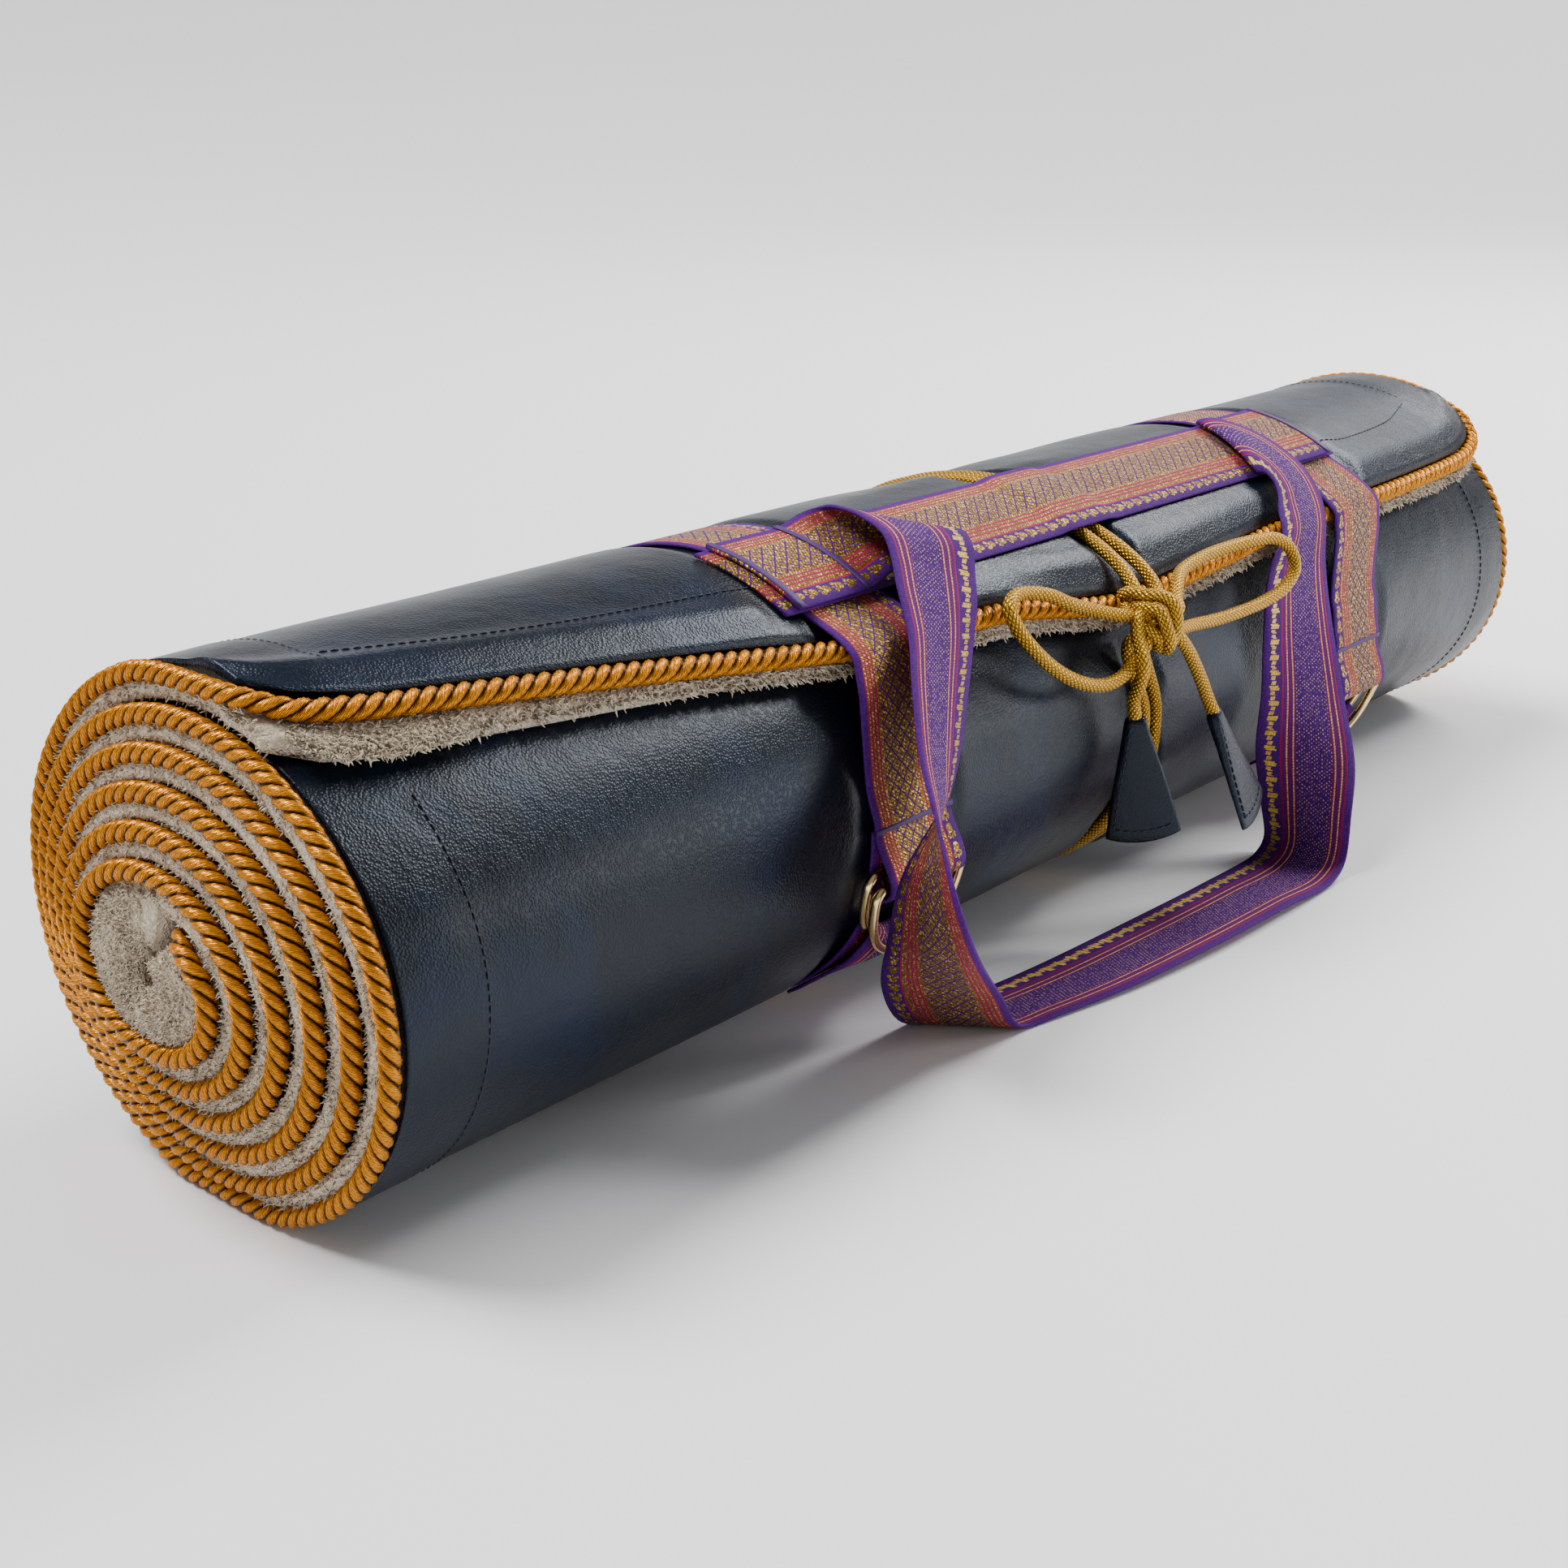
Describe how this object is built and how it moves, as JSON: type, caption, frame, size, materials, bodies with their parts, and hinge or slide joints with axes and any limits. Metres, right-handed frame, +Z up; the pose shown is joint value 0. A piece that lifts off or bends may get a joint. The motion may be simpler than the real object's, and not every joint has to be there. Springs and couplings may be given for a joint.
{
  "type": "rolled yoga rug",
  "caption": "Yoga rug of dark leather lined with fleece and edged with rope, rolled up and held by woven belts with D-rings, a tie cord with a bow and a loose carry strap.",
  "frame": {"origin": "on the roll's flat resting face, near the middle of its length and below its axis", "axes": "+X along the roll, away from the wound end that the picture shows; +Z up; -Y the front, where the flap, the tie and the carry strap are"},
  "size_m": [0.6808, 0.2092, 0.1617],
  "materials": {
    "navy_leather": "semi-gloss, fine grain",
    "grey_fleece": "matt curly pile",
    "gold_rope": "satin twisted rope",
    "brocade": "woven with metallic thread",
    "metallic_cord": "braided metallic thread",
    "brass": "polished"
  },
  "bodies": {
    "root": {"leather_sheet": "navy_leather", "fleece_lining": "grey_fleece", "rope_trim": "gold_rope", "top_strap": "brocade", "belt_near": "brocade", "belt_far": "brocade", "d_ring_back_near": "brass", "d_ring_front_near": "brass", "d_ring_back_far": "brass", "d_ring_front_far": "brass", "handle_strap": "brocade", "tie_strand_left": "metallic_cord", "tie_strand_right": "metallic_cord", "bow_loop_left": "metallic_cord", "bow_loop_right": "metallic_cord", "tie_tail_left": "metallic_cord", "tie_tail_right": "metallic_cord", "tie_knot": "metallic_cord", "tip_left": "navy_leather", "tip_right": "navy_leather"}
  },
  "joints": []
}
